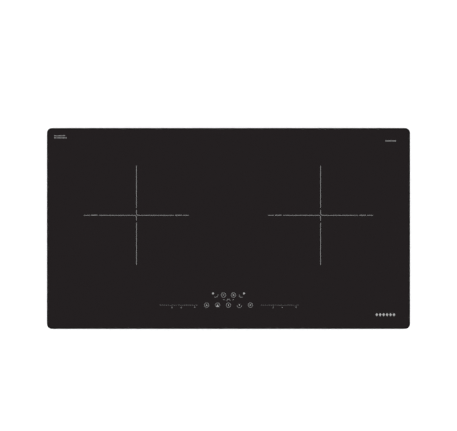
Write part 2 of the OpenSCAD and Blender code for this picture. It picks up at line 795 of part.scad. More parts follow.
// Scroll housing, open at its underside, with the motor's bearing tube under its roof
module fan_housing(side) {
    top = floor_z + fan_h;
    color([0.1, 0.1, 0.11]) in_fan(side) difference() {
        union() {
            translate([0, 0, floor_z + fan_wall]) linear_extrude(fan_h - fan_wall) fan_outline(0);
            for (p = fan_screw_xy) translate([p[0], p[1], floor_z + fan_wall]) cylinder(h = 12, r = 4.5);
            translate([0, 0, floor_z + fan_wall]) linear_extrude(fan_wall)
                rounded_rect(fan_size, fan_size, 5);
        }
        translate([0, 0, floor_z]) linear_extrude(fan_h - fan_wall) {
            circle(fan_r - fan_wall);
            translate([-fan_size, 4 + fan_wall]) square([fan_size, 38 - 2 * fan_wall]);
        }
        translate([0, 0, top - 2 * fan_wall]) cylinder(h = 3 * fan_wall, r = bearing_tube_r);
        for (p = fan_screw_xy) translate([p[0], p[1], floor_z]) cylinder(h = 9, r = screw_hole_r);
    }
}

module fan_inlet_plate(side) {
    color([0.1, 0.1, 0.11]) in_fan(side) translate([0, 0, floor_z]) linear_extrude(fan_wall) difference() {
        rounded_rect(fan_size, fan_size, 5);
        circle(fan_inlet_r);
        for (p = fan_screw_xy) translate([p[0], p[1]]) circle(screw_hole_r);
    }
}

// Centrifugal wheel: hub cup, disc, curved blades and the ring that ties them together
module fan_wheel(side) {
    blade_in = wheel_r - 9;
    blade_arc_r = 6;
    blade_t = 0.9;
    disc_t = 1.5;
    ring_h = 2;
    disc_z = wheel_h - disc_t;
    color([0.16, 0.16, 0.17]) in_fan(side) translate([0, 0, wheel_z]) {
        difference() {
            cylinder(h = wheel_h, r = hub_r);
            translate([0, 0, disc_t]) cylinder(h = wheel_h, r = hub_r - hub_wall);
            translate([0, 0, -1]) cylinder(h = 4, r = shaft_r);
        }
        translate([0, 0, disc_z]) difference() {
            cylinder(h = disc_t, r = wheel_r);
            translate([0, 0, -1]) cylinder(h = 4, r = hub_r - 0.5);
        }
        difference() {
            cylinder(h = ring_h, r = wheel_r);
            translate([0, 0, -1]) cylinder(h = 4, r = wheel_r - 1.5);
        }
        for (i = [0:fan_blades - 1]) rotate([0, 0, 360 * i / fan_blades])
            translate([blade_in + 1, -blade_arc_r, 0]) rotate([0, 0, 10]) rotate_extrude(angle = 80)
                translate([blade_arc_r, 0]) square([blade_t, disc_z + 0.5]);
    }
}

module fan_shaft(side) {
    color([0.8, 0.8, 0.82]) in_fan(side) translate([0, 0, wheel_z]) cylinder(h = 22, r = shaft_r);
}

// Stator on its bearing tube, inside the wheel's hub
module fan_motor(side) {
    roof = floor_z + fan_h - fan_wall;
    color([0.6, 0.35, 0.2]) in_fan(side) difference() {
        union() {
            translate([0, 0, wheel_z + 4]) cylinder(h = roof - wheel_z - 7, r = motor_r);
            translate([0, 0, wheel_z + 3]) cylinder(h = roof - wheel_z - 3, r = bearing_tube_r + 1.5);
        }
        translate([0, 0, wheel_z]) cylinder(h = fan_h, r = bearing_tube_r);
        for (a = [0:60:300]) rotate([0, 0, a]) translate([motor_r, 0, wheel_z + 3])
            cylinder(h = roof - wheel_z, r = 2);
    }
}

module fan_bearings() {
    color([0.76, 0.6, 0.3]) for (side = ["left", "right"]) in_fan(side) for (z = [3.5, 15.5])
        translate([0, 0, wheel_z + z]) linear_extrude(4) difference() {
            circle(bearing_tube_r);
            circle(shaft_r + bearing_gap);
        }
}

// ---------- clamping brackets ----------

// Angle bracket in the frame of its place on the tray's side wall: +X outwards, z = 0 at the clamping face
module angle_bracket() {
    low = bracket_slot[0];
    high = bracket_slot[1];
    difference() {
        union() {
            translate([bracket_gap, -bracket_w / 2, -bracket_t]) {
                cube([bracket_t, bracket_w, bracket_leg_h + bracket_t]);
                cube([bracket_reach, bracket_w, bracket_t]);
            }
            for (y = [-bracket_w / 2, bracket_w / 2 - bracket_t])
                translate([bracket_gap + bracket_t, y + bracket_t, -bracket_t]) rotate([90, 0, 0])
                    linear_extrude(bracket_t) polygon([[-0.5, -9.6], [-0.5, 0.5], [16, 0.5], [16, 0]]);
        }
        translate([-1, 0, (low + high) / 2]) rotate([90, 0, 90])
            linear_extrude(bracket_t + 4) slot2d(high - low + 5.4, 5);
    }
}

module bracket(sx, sy) {
    color([0.78, 0.79, 0.8]) translate([sx * tray_w / 2, sy * bracket_y, bracket_top_z])
        rotate([0, 0, sx > 0 ? 0 : 180]) angle_bracket();
}

// Screw and washer of each bracket
module bracket_screws() {
    seat = bracket_gap + bracket_t + 0.1;
    color([0.8, 0.8, 0.82]) bracket_screw_places() {
        translate([0, 0, seat]) difference() {
            cylinder(h = 0.8, r = 5);
            translate([0, 0, -1]) cylinder(h = 3, r = bracket_screw_r);
        }
        translate([0, 0, seat + 0.8]) pan_screw(3.9, 2.2, bracket_screw_r, 12);
    }
}

glass_top();
adhesive_bead();
worktop_seal();
carrier_frame();
bottom_tray();
terminal_cover();
rating_label();
side_screws();
base_screws();
bracket_screws();
cable_gland();
terminal_block();
filter_board();
filter_standoffs();
filter_choke();
filter_capacitors();
ribbon_cable();
touch_carrier();
touch_board();
touch_pads();
digit_displays();
insulation_pad("left");  // insulation_pad_left
insulation_pad("right");  // insulation_pad_right
coil_winding("left");  // coil_winding_left
coil_winding("right");  // coil_winding_right
coil_former("left");  // coil_former_left
coil_former("right");  // coil_former_right
ferrite_bars("left");  // ferrite_bars_left
ferrite_bars("right");  // ferrite_bars_right
coil_plate("left");  // coil_plate_left
coil_plate("right");  // coil_plate_right
temperature_sensors();
coil_springs();
coil_leads();
mains_wires();
board_carrier("left");  // board_carrier_left
board_carrier("right");  // board_carrier_right
power_board("left");  // power_board_left
power_board("right");  // power_board_right
heatsink("left");  // heatsink_left
heatsink("right");  // heatsink_right
power_transistors("left");  // power_transistors_left
power_transistors("right");  // power_transistors_right
resonance_capacitors("left");  // resonance_capacitors_left
resonance_capacitors("right");  // resonance_capacitors_right
fan_housing("left");  // fan_housing_left
fan_housing("right");  // fan_housing_right
fan_inlet_plate("left");  // fan_inlet_plate_left
fan_inlet_plate("right");  // fan_inlet_plate_right
fan_wheel("left");  // fan_wheel_left
fan_wheel("right");  // fan_wheel_right
fan_shaft("left");  // fan_shaft_left
fan_shaft("right");  // fan_shaft_right
fan_motor("left");  // fan_motor_left
fan_motor("right");  // fan_motor_right
fan_bearings();
bracket(-1, -1);  // bracket_front_left
bracket(-1, 1);  // bracket_rear_left
bracket(1, -1);  // bracket_front_right
bracket(1, 1);  // bracket_rear_right
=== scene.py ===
"""Looks of a built-in induction cooktop: glass plate, prints, inner parts, materials and studio."""
import json
import math

import bmesh
import bpy
from mathutils import Matrix, Vector


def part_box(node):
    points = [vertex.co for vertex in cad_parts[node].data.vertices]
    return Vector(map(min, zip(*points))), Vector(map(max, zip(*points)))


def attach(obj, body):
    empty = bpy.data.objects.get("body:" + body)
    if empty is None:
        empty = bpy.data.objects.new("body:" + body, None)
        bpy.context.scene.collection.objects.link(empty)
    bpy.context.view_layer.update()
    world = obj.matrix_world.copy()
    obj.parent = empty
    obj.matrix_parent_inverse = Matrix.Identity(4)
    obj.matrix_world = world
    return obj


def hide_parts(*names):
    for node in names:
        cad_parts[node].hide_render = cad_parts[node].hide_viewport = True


MM = 0.001

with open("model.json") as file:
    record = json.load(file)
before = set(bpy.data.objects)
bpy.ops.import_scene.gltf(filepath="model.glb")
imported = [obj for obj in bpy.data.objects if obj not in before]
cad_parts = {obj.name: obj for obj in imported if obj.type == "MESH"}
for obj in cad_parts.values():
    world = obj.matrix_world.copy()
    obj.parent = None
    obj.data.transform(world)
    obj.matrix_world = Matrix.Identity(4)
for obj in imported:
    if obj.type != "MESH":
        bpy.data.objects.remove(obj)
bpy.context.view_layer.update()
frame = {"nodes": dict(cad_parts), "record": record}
ROOT = "housing"
SIDES = ("left", "right")
# Thickness of the circuit boards, in millimetres
BOARD_T = 1.6

# The plate in millimetres; its face lies just below the tops of the prints
GLASS_LOW, GLASS_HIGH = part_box("glass_top")
GLASS_W = (GLASS_HIGH.x - GLASS_LOW.x) / MM
GLASS_D = (GLASS_HIGH.y - GLASS_LOW.y) / MM
GLASS_TOP = GLASS_HIGH.z / MM
GLASS_UNDER = GLASS_LOW.z / MM
PRINT_T = 0.04
FACE_Z = GLASS_TOP - PRINT_T


# ---------- studio ----------

def build_camera():
    """Looks straight down, a little behind the plate's middle, as a catalogue picture does."""
    lens, sensor = 100.0, 36.0
    # In metres
    view_width, behind_middle = 0.9184, 0.0261
    data = bpy.data.cameras.new("camera")
    data.lens = lens
    data.sensor_width = sensor
    camera = bpy.data.objects.new("camera", data)
    camera.location = (0, behind_middle, GLASS_TOP * MM + view_width * lens / sensor)
    bpy.context.scene.collection.objects.link(camera)
    bpy.context.scene.camera = camera


def build_lights():
    """Four broad, far lights, outside of what the plate's face and bevel mirror to the camera."""
    panels, off_zenith, spread, strength = 4, 27, 14, 0.88
    for i in range(panels):
        light = bpy.data.lights.new(f"panel_{i}", "SUN")
        light.angle = math.radians(spread)
        light.energy = strength
        lamp = bpy.data.objects.new(f"panel_{i}", light)
        lamp.rotation_euler = (math.radians(off_zenith), 0, math.radians(360 / panels * i))
        bpy.context.scene.collection.objects.link(lamp)


def build_world():
    """White at the horizon, as the floor is, and dim overhead, so that the glass stays black from above."""
    world = bpy.data.worlds.new("studio")
    bpy.context.scene.world = world
    world.use_nodes = True
    tree = world.node_tree
    coords = tree.nodes.new("ShaderNodeTexCoord")
    split = tree.nodes.new("ShaderNodeSeparateXYZ")
    ramp = tree.nodes.new("ShaderNodeValToRGB")
    tree.links.new(coords.outputs["Generated"], split.inputs[0])
    tree.links.new(split.outputs["Z"], ramp.inputs["Fac"])
    tree.links.new(ramp.outputs["Color"], tree.nodes["Background"].inputs["Color"])
    # Brightness by the height of the direction, from the horizon at 0 to straight up at 1
    sky = [(0.0, 1.0), (0.05, 1.0), (0.25, 0.6), (0.5, 0.15), (0.6, 0.02), (0.86, 0.02), (0.96, 0.2)]
    fill_ramp(ramp.color_ramp, [(height, grey(level)) for height, level in sky])


def build_floor():
    """Matt white paper that glows a little, so that it comes out plain white."""
    size, glow = 24, 0.25
    bpy.ops.mesh.primitive_plane_add(size=size)
    floor = bpy.context.object
    floor.name = "floor"
    shade = Shade("floor_paper", grey(0.86), roughness=0.9)
    shade.mottle(6.0, dark=grey(0.85), light=grey(0.87))
    shade.set("Emission Color", (1, 1, 1, 1))
    shade.set("Emission Strength", glow)
    floor.data.materials.append(shade.material)


# ---------- material helpers ----------

def grey(level):
    return (level, level, level)


def scaled(colour, factor):
    return tuple(channel * factor for channel in colour)


def fill_ramp(ramp, stops):
    """Gives a colour ramp its stops, each a position and a colour."""
    while len(ramp.elements) < len(stops):
        ramp.elements.new(0.5)
    for element, (position, colour) in zip(ramp.elements, stops):
        element.position = position
        element.color = (*colour, 1)


class Shade:
    """A Principled material and the few node patterns that the cooktop's surfaces need."""

    # Nearly all of a noise's values lie between these
    NOISE_LOW, NOISE_HIGH = 0.3, 0.7

    def __init__(self, name, colour, roughness, metallic=0.0, **sockets):
        self.material = bpy.data.materials.new(name)
        self.material.use_nodes = True
        self.tree = self.material.node_tree
        self.shader = self.tree.nodes["Principled BSDF"]
        self.height = None
        self.material.diffuse_color = (*colour, 1)
        self.set("Base Color", (*colour, 1))
        self.set("Roughness", roughness)
        self.set("Metallic", metallic)
        for socket, value in sockets.items():
            self.set(socket.replace("_", " "), value)

    def set(self, socket, value):
        self.shader.inputs[socket].default_value = value

    def add(self, kind, inputs=(), **settings):
        """A node with its settings, and its inputs given as values or as other nodes' outputs."""
        node = self.tree.nodes.new(kind)
        for name, value in settings.items():
            setattr(node, name, value)
        for name, value in dict(inputs).items():
            if isinstance(value, bpy.types.NodeSocket):
                self.tree.links.new(value, node.inputs[name])
            else:
                node.inputs[name].default_value = value
        return node

    def place(self, stretch=(1, 1, 1)):
        """The place on the object, in metres, stretched along its axes."""
        coords = self.add("ShaderNodeTexCoord")
        mapping = self.add("ShaderNodeMapping", {
            "Vector": coords.outputs["Object"], "Scale": stretch,
        })
        return mapping.outputs["Vector"]

    def noise(self, scale, detail=3.0, stretch=(1, 1, 1)):
        node = self.add("ShaderNodeTexNoise", {
            "Vector": self.place(stretch), "Scale": scale, "Detail": detail,
        })
        return node.outputs["Fac"]

    def cells(self, scale, output="Color", metric="EUCLIDEAN"):
        node = self.add("ShaderNodeTexVoronoi", {"Vector": self.place(), "Scale": scale}, distance=metric)
        return node.outputs[output]

    def bands(self, scale, direction):
        node = self.add("ShaderNodeTexWave", {"Vector": self.place(), "Scale": scale},
                        bands_direction=direction)
        return node.outputs["Fac"]

    def colour_from(self, value, stops):
        """Colour by a value between 0 and 1, through a ramp."""
        ramp = self.add("ShaderNodeValToRGB", {"Fac": value})
        fill_ramp(ramp.color_ramp, stops)
        self.tree.links.new(ramp.outputs["Color"], self.shader.inputs["Base Color"])

    def drift(self, noise, dark, light):
        """Colour between two tones, by a noise."""
        self.colour_from(noise, [(self.NOISE_LOW, dark), (self.NOISE_HIGH, light)])

    def mottle(self, scale, dark, light, detail=4.0):
        """Colour that drifts in soft patches between two close tones."""
        self.drift(self.noise(scale, detail), dark, light)

    def roughness_from(self, value, low, high):
        """Roughness between two limits, by a noise or another value with its range."""
        spread = self.add("ShaderNodeMapRange", {
            "Value": value, "From Min": self.NOISE_LOW, "From Max": self.NOISE_HIGH,
            "To Min": low, "To Max": high,
        })
        self.tree.links.new(spread.outputs["Result"], self.shader.inputs["Roughness"])

    def bump_from(self, value, depth, strength):
        """Adds a bump of that depth in millimetres on top of any bump already there."""
        inputs = {"Height": value, "Strength": strength, "Distance": depth * MM}
        if self.height:
            inputs["Normal"] = self.height
        bump = self.add("ShaderNodeBump", inputs)
        self.height = bump.outputs["Normal"]
        self.tree.links.new(self.height, self.shader.inputs["Normal"])


# ---------- materials ----------

def black_glass():
    """Glass-ceramic: black in its depth, with the faintest haze where it has been wiped."""
    shade = Shade("glass_ceramic", (0.0077, 0.0049, 0.0056), roughness=0.06, IOR=1.53)
    shade.mottle(900, dark=(0.0073, 0.0046, 0.0053), light=(0.0081, 0.0052, 0.0059), detail=2.0)
    shade.roughness_from(shade.noise(9, detail=5), low=0.045, high=0.085)
    return shade.material


def ground_bevel_painted_shade():
    """The same glass where it is ground and polished: duller than the face, and a little darker through
    painted shade that stands for the dark surroundings its bevel mirrors.
    """
    # Painted shade: this base colour and its mottle are darker than the face's, for the dark reflection
    # along the bevel.
    shade = Shade("glass_ground_bevel_painted_shade", (0.0026, 0.0022, 0.0024), roughness=0.1, IOR=1.53)
    shade.mottle(500, dark=(0.0022, 0.0018, 0.0020), light=(0.0030, 0.0026, 0.0028))
    shade.roughness_from(shade.noise(260, detail=3), low=0.08, high=0.14)
    shade.bump_from(shade.noise(1400, detail=2), depth=0.004, strength=0.2)
    return shade.material


def enamel_print():
    """Fired screen print: pale grey enamel with a fine mesh grain."""
    level = 0.315
    shade = Shade("screen_print", grey(level), roughness=0.42, IOR=1.5)
    shade.mottle(1500, dark=grey(level * 0.93), light=grey(level * 1.05), detail=2.0)
    shade.bump_from(shade.noise(2600, detail=2), depth=0.01, strength=0.3)
    return shade.material


def galvanised():
    """Zinc-coated sheet with its spangle of flat crystals."""
    shade = Shade("galvanised_sheet", (0.60, 0.62, 0.63), roughness=0.38, metallic=0.92)
    crystals = shade.add("ShaderNodeRGBToBW", {"Color": shade.cells(210)}).outputs["Val"]
    dark, middle, light = (0.47, 0.49, 0.50), (0.51, 0.53, 0.54), (0.56, 0.57, 0.58)
    shade.colour_from(crystals, [(0.2, dark), (0.5, middle), (0.8, light)])
    shade.roughness_from(crystals, low=0.36, high=0.44)
    shade.bump_from(shade.noise(700, detail=4), depth=0.02, strength=0.3)
    return shade.material


def zinc_plated():
    """Bright plated screws and washers."""
    shade = Shade("zinc_plated_steel", (0.62, 0.62, 0.64), roughness=0.28, metallic=1.0)
    shade.mottle(300, dark=(0.54, 0.55, 0.58), light=grey(0.68))
    shade.roughness_from(shade.noise(500), low=0.2, high=0.38)
    shade.bump_from(shade.noise(1800, detail=2), depth=0.01, strength=0.3)
    return shade.material


def foam(name, colour, cell_scale=900, depth=0.15):
    """Closed-cell foam or felt: dull, with small pits."""
    shade = Shade(name, colour, roughness=0.95, Sheen_Weight=0.15)
    pits = shade.cells(cell_scale, output="Distance")
    # Painted shade: the colour darkens into the pits and lightens on their rims, by the same value that
    # makes the bump.
    shade.colour_from(pits, [(0.0, scaled(colour, 0.6)), (0.5, colour), (1.0, scaled(colour, 1.3))])
    shade.bump_from(pits, depth=depth, strength=0.7)
    return shade.material


def rubber(name, colour):
    """Dull and slightly uneven."""
    shade = Shade(name, colour, roughness=0.7)
    shade.mottle(220, dark=scaled(colour, 0.85), light=scaled(colour, 1.15))
    shade.bump_from(shade.noise(1500, detail=3), depth=0.03, strength=0.4)
    return shade.material


def moulded(name, colour, roughness=0.5, grain=1100, depth=0.03):
    """Moulded plastic with an eroded surface."""
    shade = Shade(name, colour, roughness, IOR=1.49)
    shade.mottle(60, dark=scaled(colour, 0.92), light=scaled(colour, 1.08))
    shade.roughness_from(shade.noise(180), low=roughness - 0.06, high=roughness + 0.1)
    shade.bump_from(shade.cells(grain, output="Distance"), depth=depth, strength=0.4)
    return shade.material


def drawn_metal(name, colour, roughness, stretch, contrast=0.08, depth=0.015):
    """Rolled, extruded or drawn metal: fine streaks along one axis."""
    shade = Shade(name, colour, roughness, metallic=1.0)
    streaks = shade.noise(900, detail=3, stretch=stretch)
    shade.drift(streaks, dark=scaled(colour, 1 - contrast), light=scaled(colour, 1 + contrast))
    shade.roughness_from(streaks, low=roughness - contrast, high=roughness + contrast)
    shade.bump_from(streaks, depth=depth, strength=0.4)
    return shade.material


def label_foil():
    """Satin metallised foil."""
    shade = Shade("label_foil", (0.62, 0.62, 0.6), roughness=0.35, metallic=0.4)
    shade.mottle(40, dark=(0.58, 0.58, 0.57), light=(0.66, 0.66, 0.64))
    shade.bump_from(shade.noise(300, detail=2), depth=0.03, strength=0.3)
    return shade.material


class BoardShade(Shade):
    """Green solder mask over groups of right-angled copper tracks."""

    def __init__(self, name):
        super().__init__(name, (0.010, 0.085, 0.03), roughness=0.32, IOR=1.5)
        bare_mask, over_copper = (0.009, 0.075, 0.026), (0.025, 0.17, 0.06)
        across_above, along_below = 0.56, 0.46
        area = self.add("ShaderNodeRGBToBW", {"Color": self.cells(75, metric="CHEBYCHEV")}).outputs["Val"]
        is_across = self.calculate("GREATER_THAN", area, across_above)
        is_along = self.calculate("LESS_THAN", area, along_below)
        across = self.calculate("MULTIPLY", self.tracks("X"), is_across)
        along = self.calculate("MULTIPLY", self.tracks("Y"), is_along)
        copper = self.calculate("ADD", across, along)
        mask = self.add("ShaderNodeValToRGB", {"Fac": copper})
        fill_ramp(mask.color_ramp, [(0.0, bare_mask), (1.0, over_copper)])
        self.colour = mask.outputs["Color"]
        self.tree.links.new(self.colour, self.shader.inputs["Base Color"])
        self.bump_from(copper, depth=0.03, strength=0.4)

    def calculate(self, operation, first, second=0.0):
        return self.add("ShaderNodeMath", {0: first, 1: second}, operation=operation).outputs[0]

    def tracks(self, direction):
        scale, gap_share = 190, 0.8
        return self.calculate("GREATER_THAN", self.bands(scale, direction), gap_share)

    def fit_parts(self, board_top, middle, reach):
        """Black parts above the board, and ivory plugs beyond reach from its middle; all in metres."""
        black, ivory = (0.02, 0.02, 0.022, 1), (0.62, 0.60, 0.52, 1)
        coords = self.add("ShaderNodeTexCoord")
        place = self.add("ShaderNodeSeparateXYZ", {"Vector": coords.outputs["Object"]})
        from_centre = self.calculate("ABSOLUTE", place.outputs["X"])
        off_middle = self.calculate("ABSOLUTE", self.calculate("SUBTRACT", from_centre, middle))
        is_plug = self.calculate("GREATER_THAN", off_middle, reach)
        part = self.add("ShaderNodeMixRGB", {"Fac": is_plug, "Color1": black, "Color2": ivory})
        is_part = self.calculate("GREATER_THAN", place.outputs["Z"], board_top)
        shown = self.add("ShaderNodeMixRGB", {
            "Fac": is_part, "Color1": self.colour, "Color2": part.outputs["Color"],
        })
        self.tree.links.new(shown.outputs["Color"], self.shader.inputs["Base Color"])


def circuit_board():
    """A board whose parts are other pieces."""
    return BoardShade("circuit_board").material


def fitted_board():
    """A power board: the board itself, and the relays, transformer and plugs that stand on it."""
    low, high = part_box("power_board_right")
    clear, plug_reach = 0.1, 71
    shade = BoardShade("fitted_board")
    shade.fit_parts(low.z + (BOARD_T + clear) * MM, (low.x + high.x) / 2, plug_reach * MM)
    return shade.material


def enamelled_copper(name, colour, strand_scale):
    """Copper wire laid side by side under clear enamel."""
    shade = Shade(name, colour, roughness=0.3, metallic=0.85, Coat_Weight=0.4)
    shade.mottle(400, dark=scaled(colour, 0.8), light=scaled(colour, 1.15))
    shade.bump_from(shade.bands(strand_scale, "DIAGONAL"), depth=0.15, strength=0.6)
    return shade.material


def ferrite():
    """Pressed and fired: dark grey and grainy."""
    shade = Shade("ferrite", (0.045, 0.045, 0.05), roughness=0.55)
    shade.mottle(700, dark=(0.03, 0.03, 0.034), light=(0.07, 0.07, 0.075), detail=6)
    shade.bump_from(shade.noise(1200, detail=4), depth=0.05, strength=0.5)
    return shade.material


def fibre(name, colour, stretch):
    """Ceramic-fibre felt or a woven glass sleeve."""
    shade = Shade(name, colour, roughness=0.95, Sheen_Weight=0.3)
    threads = shade.noise(900, detail=5, stretch=stretch)
    shade.drift(threads, dark=scaled(colour, 0.82), light=scaled(colour, 1.08))
    shade.bump_from(threads, depth=0.2, strength=0.6)
    return shade.material


def ribbon():
    """Grey flat cable: one ridge for each of its wires."""
    shade = Shade("ribbon_insulation", (0.32, 0.33, 0.36), roughness=0.45)
    wires = shade.bands(125, "X")
    # Painted shade and painted light: darker in the grooves between the wires and lighter on their ridges,
    # by the same bands that make the bump.
    shade.colour_from(wires, [(0.0, (0.22, 0.23, 0.26)), (1.0, (0.38, 0.39, 0.42))])
    shade.bump_from(wires, depth=0.3, strength=0.8)
    return shade.material


def build_materials():
    """A material for each material slot of the record, and one for the label's ink."""
    nylon = (0.022, 0.022, 0.024)
    aluminium = (0.72, 0.73, 0.74)
    return {
        "glass_ceramic": black_glass(),
        "screen_print": enamel_print(),
        "silicone": rubber("silicone", grey(0.03)),
        "sensor_rubber": rubber("sensor_rubber", (0.35, 0.05, 0.025)),
        "foam_seal": foam("foam_seal", (0.045, 0.045, 0.048)),
        "conductive_foam": foam("conductive_foam", (0.03, 0.03, 0.032), cell_scale=1500, depth=0.08),
        "galvanised_sheet": galvanised(),
        "zinc_plated_steel": zinc_plated(),
        "label_foil": label_foil(),
        "label_ink": moulded("label_ink", grey(0.12), 0.5, grain=1600, depth=0.005),
        "black_nylon": moulded("black_nylon", nylon, 0.5),
        "natural_nylon": moulded("natural_nylon", (0.70, 0.69, 0.63), 0.45),
        "terminal_plastic": moulded("terminal_plastic", (0.66, 0.62, 0.5), 0.45),
        "epoxy_package": moulded("epoxy_package", (0.018, 0.018, 0.02), 0.6),
        "capacitor_cases": moulded("capacitor_cases", (0.62, 0.36, 0.03), 0.3, grain=1600, depth=0.01),
        "display_plastic": moulded("display_plastic", (0.05, 0.006, 0.006), 0.25, grain=1600, depth=0.01),
        "wire_insulation": moulded("wire_insulation", (0.16, 0.06, 0.025), 0.35, grain=1600, depth=0.01),
        "ribbon_insulation": ribbon(),
        "circuit_board": circuit_board(),
        "enamelled_copper": enamelled_copper("enamelled_copper", (0.55, 0.2, 0.07), strand_scale=90),
        "litz_copper": enamelled_copper("litz_copper", (0.5, 0.2, 0.08), strand_scale=240),
        "motor_windings": enamelled_copper("motor_windings", (0.45, 0.16, 0.06), strand_scale=320),
        "glass_fibre_sleeve": fibre("glass_fibre_sleeve", (0.68, 0.64, 0.5), stretch=(2, 2, 1)),
        "ceramic_fibre": fibre("ceramic_fibre", (0.78, 0.77, 0.71), stretch=(1, 3, 1)),
        "ferrite": ferrite(),
        "spring_steel": drawn_metal("spring_steel", (0.55, 0.55, 0.57), 0.3, stretch=(1, 1, 12)),
        "polished_steel": drawn_metal("polished_steel", (0.6, 0.6, 0.62), 0.16, stretch=(1, 1, 0.05)),
        "sintered_bronze": drawn_metal("sintered_bronze", (0.5, 0.3, 0.11), 0.4, stretch=(1, 1, 1)),
        "extruded_aluminium": drawn_metal("extruded_aluminium", aluminium, 0.4, stretch=(0.03, 1, 1)),
        "aluminium_sheet": drawn_metal("aluminium_sheet", aluminium, 0.38, stretch=(0.04, 3, 3),
                                       contrast=0.04, depth=0.001),
    }


# ---------- mesh helpers, in millimetres ----------

def arc(centre, radius, start, end, step=10):
    """Points along an arc, its angles in degrees, anticlockwise from +X."""
    count = max(2, math.ceil(abs(end - start) / step))
    angles = [math.radians(start + (end - start) * i / count) for i in range(count + 1)]
    return [(centre[0] + radius * math.cos(a), centre[1] + radius * math.sin(a)) for a in angles]


def rectangle(centre, width, depth):
    """Its four corners, anticlockwise."""
    x, y = centre
    w, d = width / 2, depth / 2
    return [(x - w, y - d), (x + w, y - d), (x + w, y + d), (x - w, y + d)]


def rounded_outline(width, depth, radius, steps=12):
    """Points round a rounded rectangle, anticlockwise from its right-hand front corner."""
    points = []
    corners = [(1, -1, -90), (1, 1, 0), (-1, 1, 90), (-1, -1, 180)]
    for sx, sy, start in corners:
        centre = (sx * (width / 2 - radius), sy * (depth / 2 - radius))
        points += arc(centre, radius, start, start + 90, 90 / steps)
    return points


def filleted(path, radii, steps=4):
    """The path with each inner corner rounded: Vector points, one radius for each inner corner."""
    out = [path[0]]
    for before, corner, after, radius in zip(path, path[1:], path[2:], radii):
        to_before = (before - corner).normalized()
        to_after = (after - corner).normalized()
        half = to_before.angle(to_after) / 2
        reach = radius / math.tan(half)
        centre = corner + (to_before + to_after).normalized() * (radius / math.sin(half))
        first = corner + to_before * reach - centre
        last = corner + to_after * reach - centre
        for i in range(steps + 1):
            spoke = first.lerp(last, i / steps).normalized() * radius
            out.append(centre + spoke)
    return out + [path[-1]]


def skin(shape, outlines, bands=None, smooth=True):
    """Joins outlines from the lowest up and closes both ends.

    Each outline is a list of (x, y) with its height, and bands has a material index for each step up.
    """
    rings = [[shape.verts.new((x * MM, y * MM, z * MM)) for x, y in outline] for outline, z in outlines]
    bands = bands or [0] * (len(rings) - 1)
    for a, b, index in zip(rings, rings[1:], bands):
        for j in range(len(a)):
            k = (j + 1) % len(a)
            face = shape.faces.new([a[j], a[k], b[k], b[j]])
            face.smooth = smooth
            face.material_index = index
    shape.faces.new(list(reversed(rings[0]))).material_index = bands[0]
    shape.faces.new(rings[-1]).material_index = bands[-1]


def sweep(shape, points, section, twist=0.0, side=None, closed=False, material_index=0):
    """Sweeps a cross-section along points; twist turns it, in radians for each millimetre."""
    points = [Vector(p) for p in points]
    ahead = points[1:] + [points[0] if closed else 2 * points[-1] - points[-2]]
    side = Vector(side) if side else (points[1] - points[0]).orthogonal()
    turned, before, rings = 0.0, points[0], []
    for point, after in zip(points, ahead):
        tangent = (after - point).normalized()
        side = (side - tangent * side.dot(tangent)).normalized()
        up = tangent.cross(side)
        turned += twist * (point - before).length
        c, s = math.cos(turned), math.sin(turned)
        spokes = [side * (u * c - v * s) + up * (u * s + v * c) for u, v in section]
        rings.append([shape.verts.new((point + spoke) * MM) for spoke in spokes])
        before = point
    for a, b in zip(rings, rings[1:] + rings[:1]) if closed else zip(rings, rings[1:]):
        for j in range(len(section)):
            k = (j + 1) % len(section)
            face = shape.faces.new([a[j], a[k], b[k], b[j]])
            face.smooth = True
            face.material_index = material_index
    if not closed:
        for cap in (list(reversed(rings[0])), rings[-1]):
            shape.faces.new(cap).material_index = material_index


def finish_piece(name, shape, materials, node=None):
    """Makes a gathered mesh a piece of the housing, in place of a CAD node where one is named."""
    mesh = bpy.data.meshes.new(name)
    shape.to_mesh(mesh)
    shape.free()
    for material in materials:
        mesh.materials.append(material)
    piece = bpy.data.objects.new(name, mesh)
    bpy.context.scene.collection.objects.link(piece)
    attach(piece, ROOT)
    if node:
        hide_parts(node)
    return piece


def keep_flats_flat(piece):
    """Shades the large faces flat and the small ones round them smooth."""
    weighted = piece.modifiers.new("weighted_normals", "WEIGHTED_NORMAL")
    weighted.keep_sharp = True


